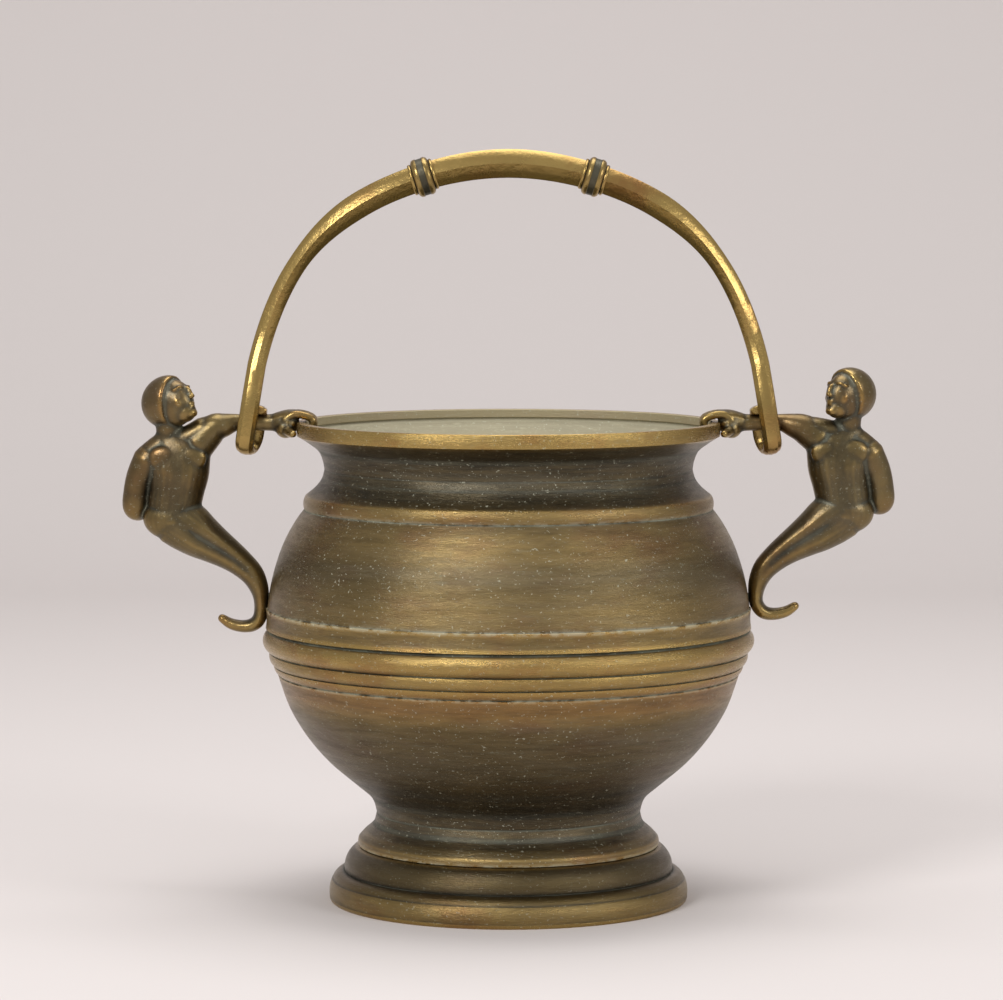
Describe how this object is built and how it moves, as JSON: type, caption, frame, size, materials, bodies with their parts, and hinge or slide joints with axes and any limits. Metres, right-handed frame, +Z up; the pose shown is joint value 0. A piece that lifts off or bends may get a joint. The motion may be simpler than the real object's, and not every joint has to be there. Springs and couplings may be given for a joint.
{
  "type": "footed bronze pot",
  "caption": "Footed bronze pot with moulded bands and a swinging bail whose eyes ride on the arms of cast tailed figures that grip the rim.",
  "frame": {"origin": "centre of the flat ring that the foot stands on", "axes": "+Z up through the middle of the mouth, +X along the bail's swing axis towards the figure on the right, -Y towards the viewer of the picture"},
  "size_m": [0.3876, 0.2466, 0.3762],
  "materials": {
    "pot": "cast bronze with a dark olive-brown patina and grey-green verdigris, worn bright on the bands",
    "foot": "cast bronze, dark in the mouldings and worn bright at the base",
    "figure": "cast bronze, dark in the hollows and worn coppery on the high parts",
    "bail": "bronze rubbed to a golden brown by handling",
    "rivet": "bronze, dull"
  },
  "bodies": {
    "pot": {"foot_ring": "foot", "pot_body": "pot", "left_figure": "figure", "right_figure": "figure", "left_tail_rivet": "rivet", "right_tail_rivet": "rivet"},
    "bail": {"bail": "bail"}
  },
  "joints": [
    {"name": "bail_swing", "type": "hinge", "parent": "pot", "child": "bail", "pos_m": [0, 0, 0.24], "axis": [1, 0, 0], "range_deg": [-114, 114]}
  ]
}
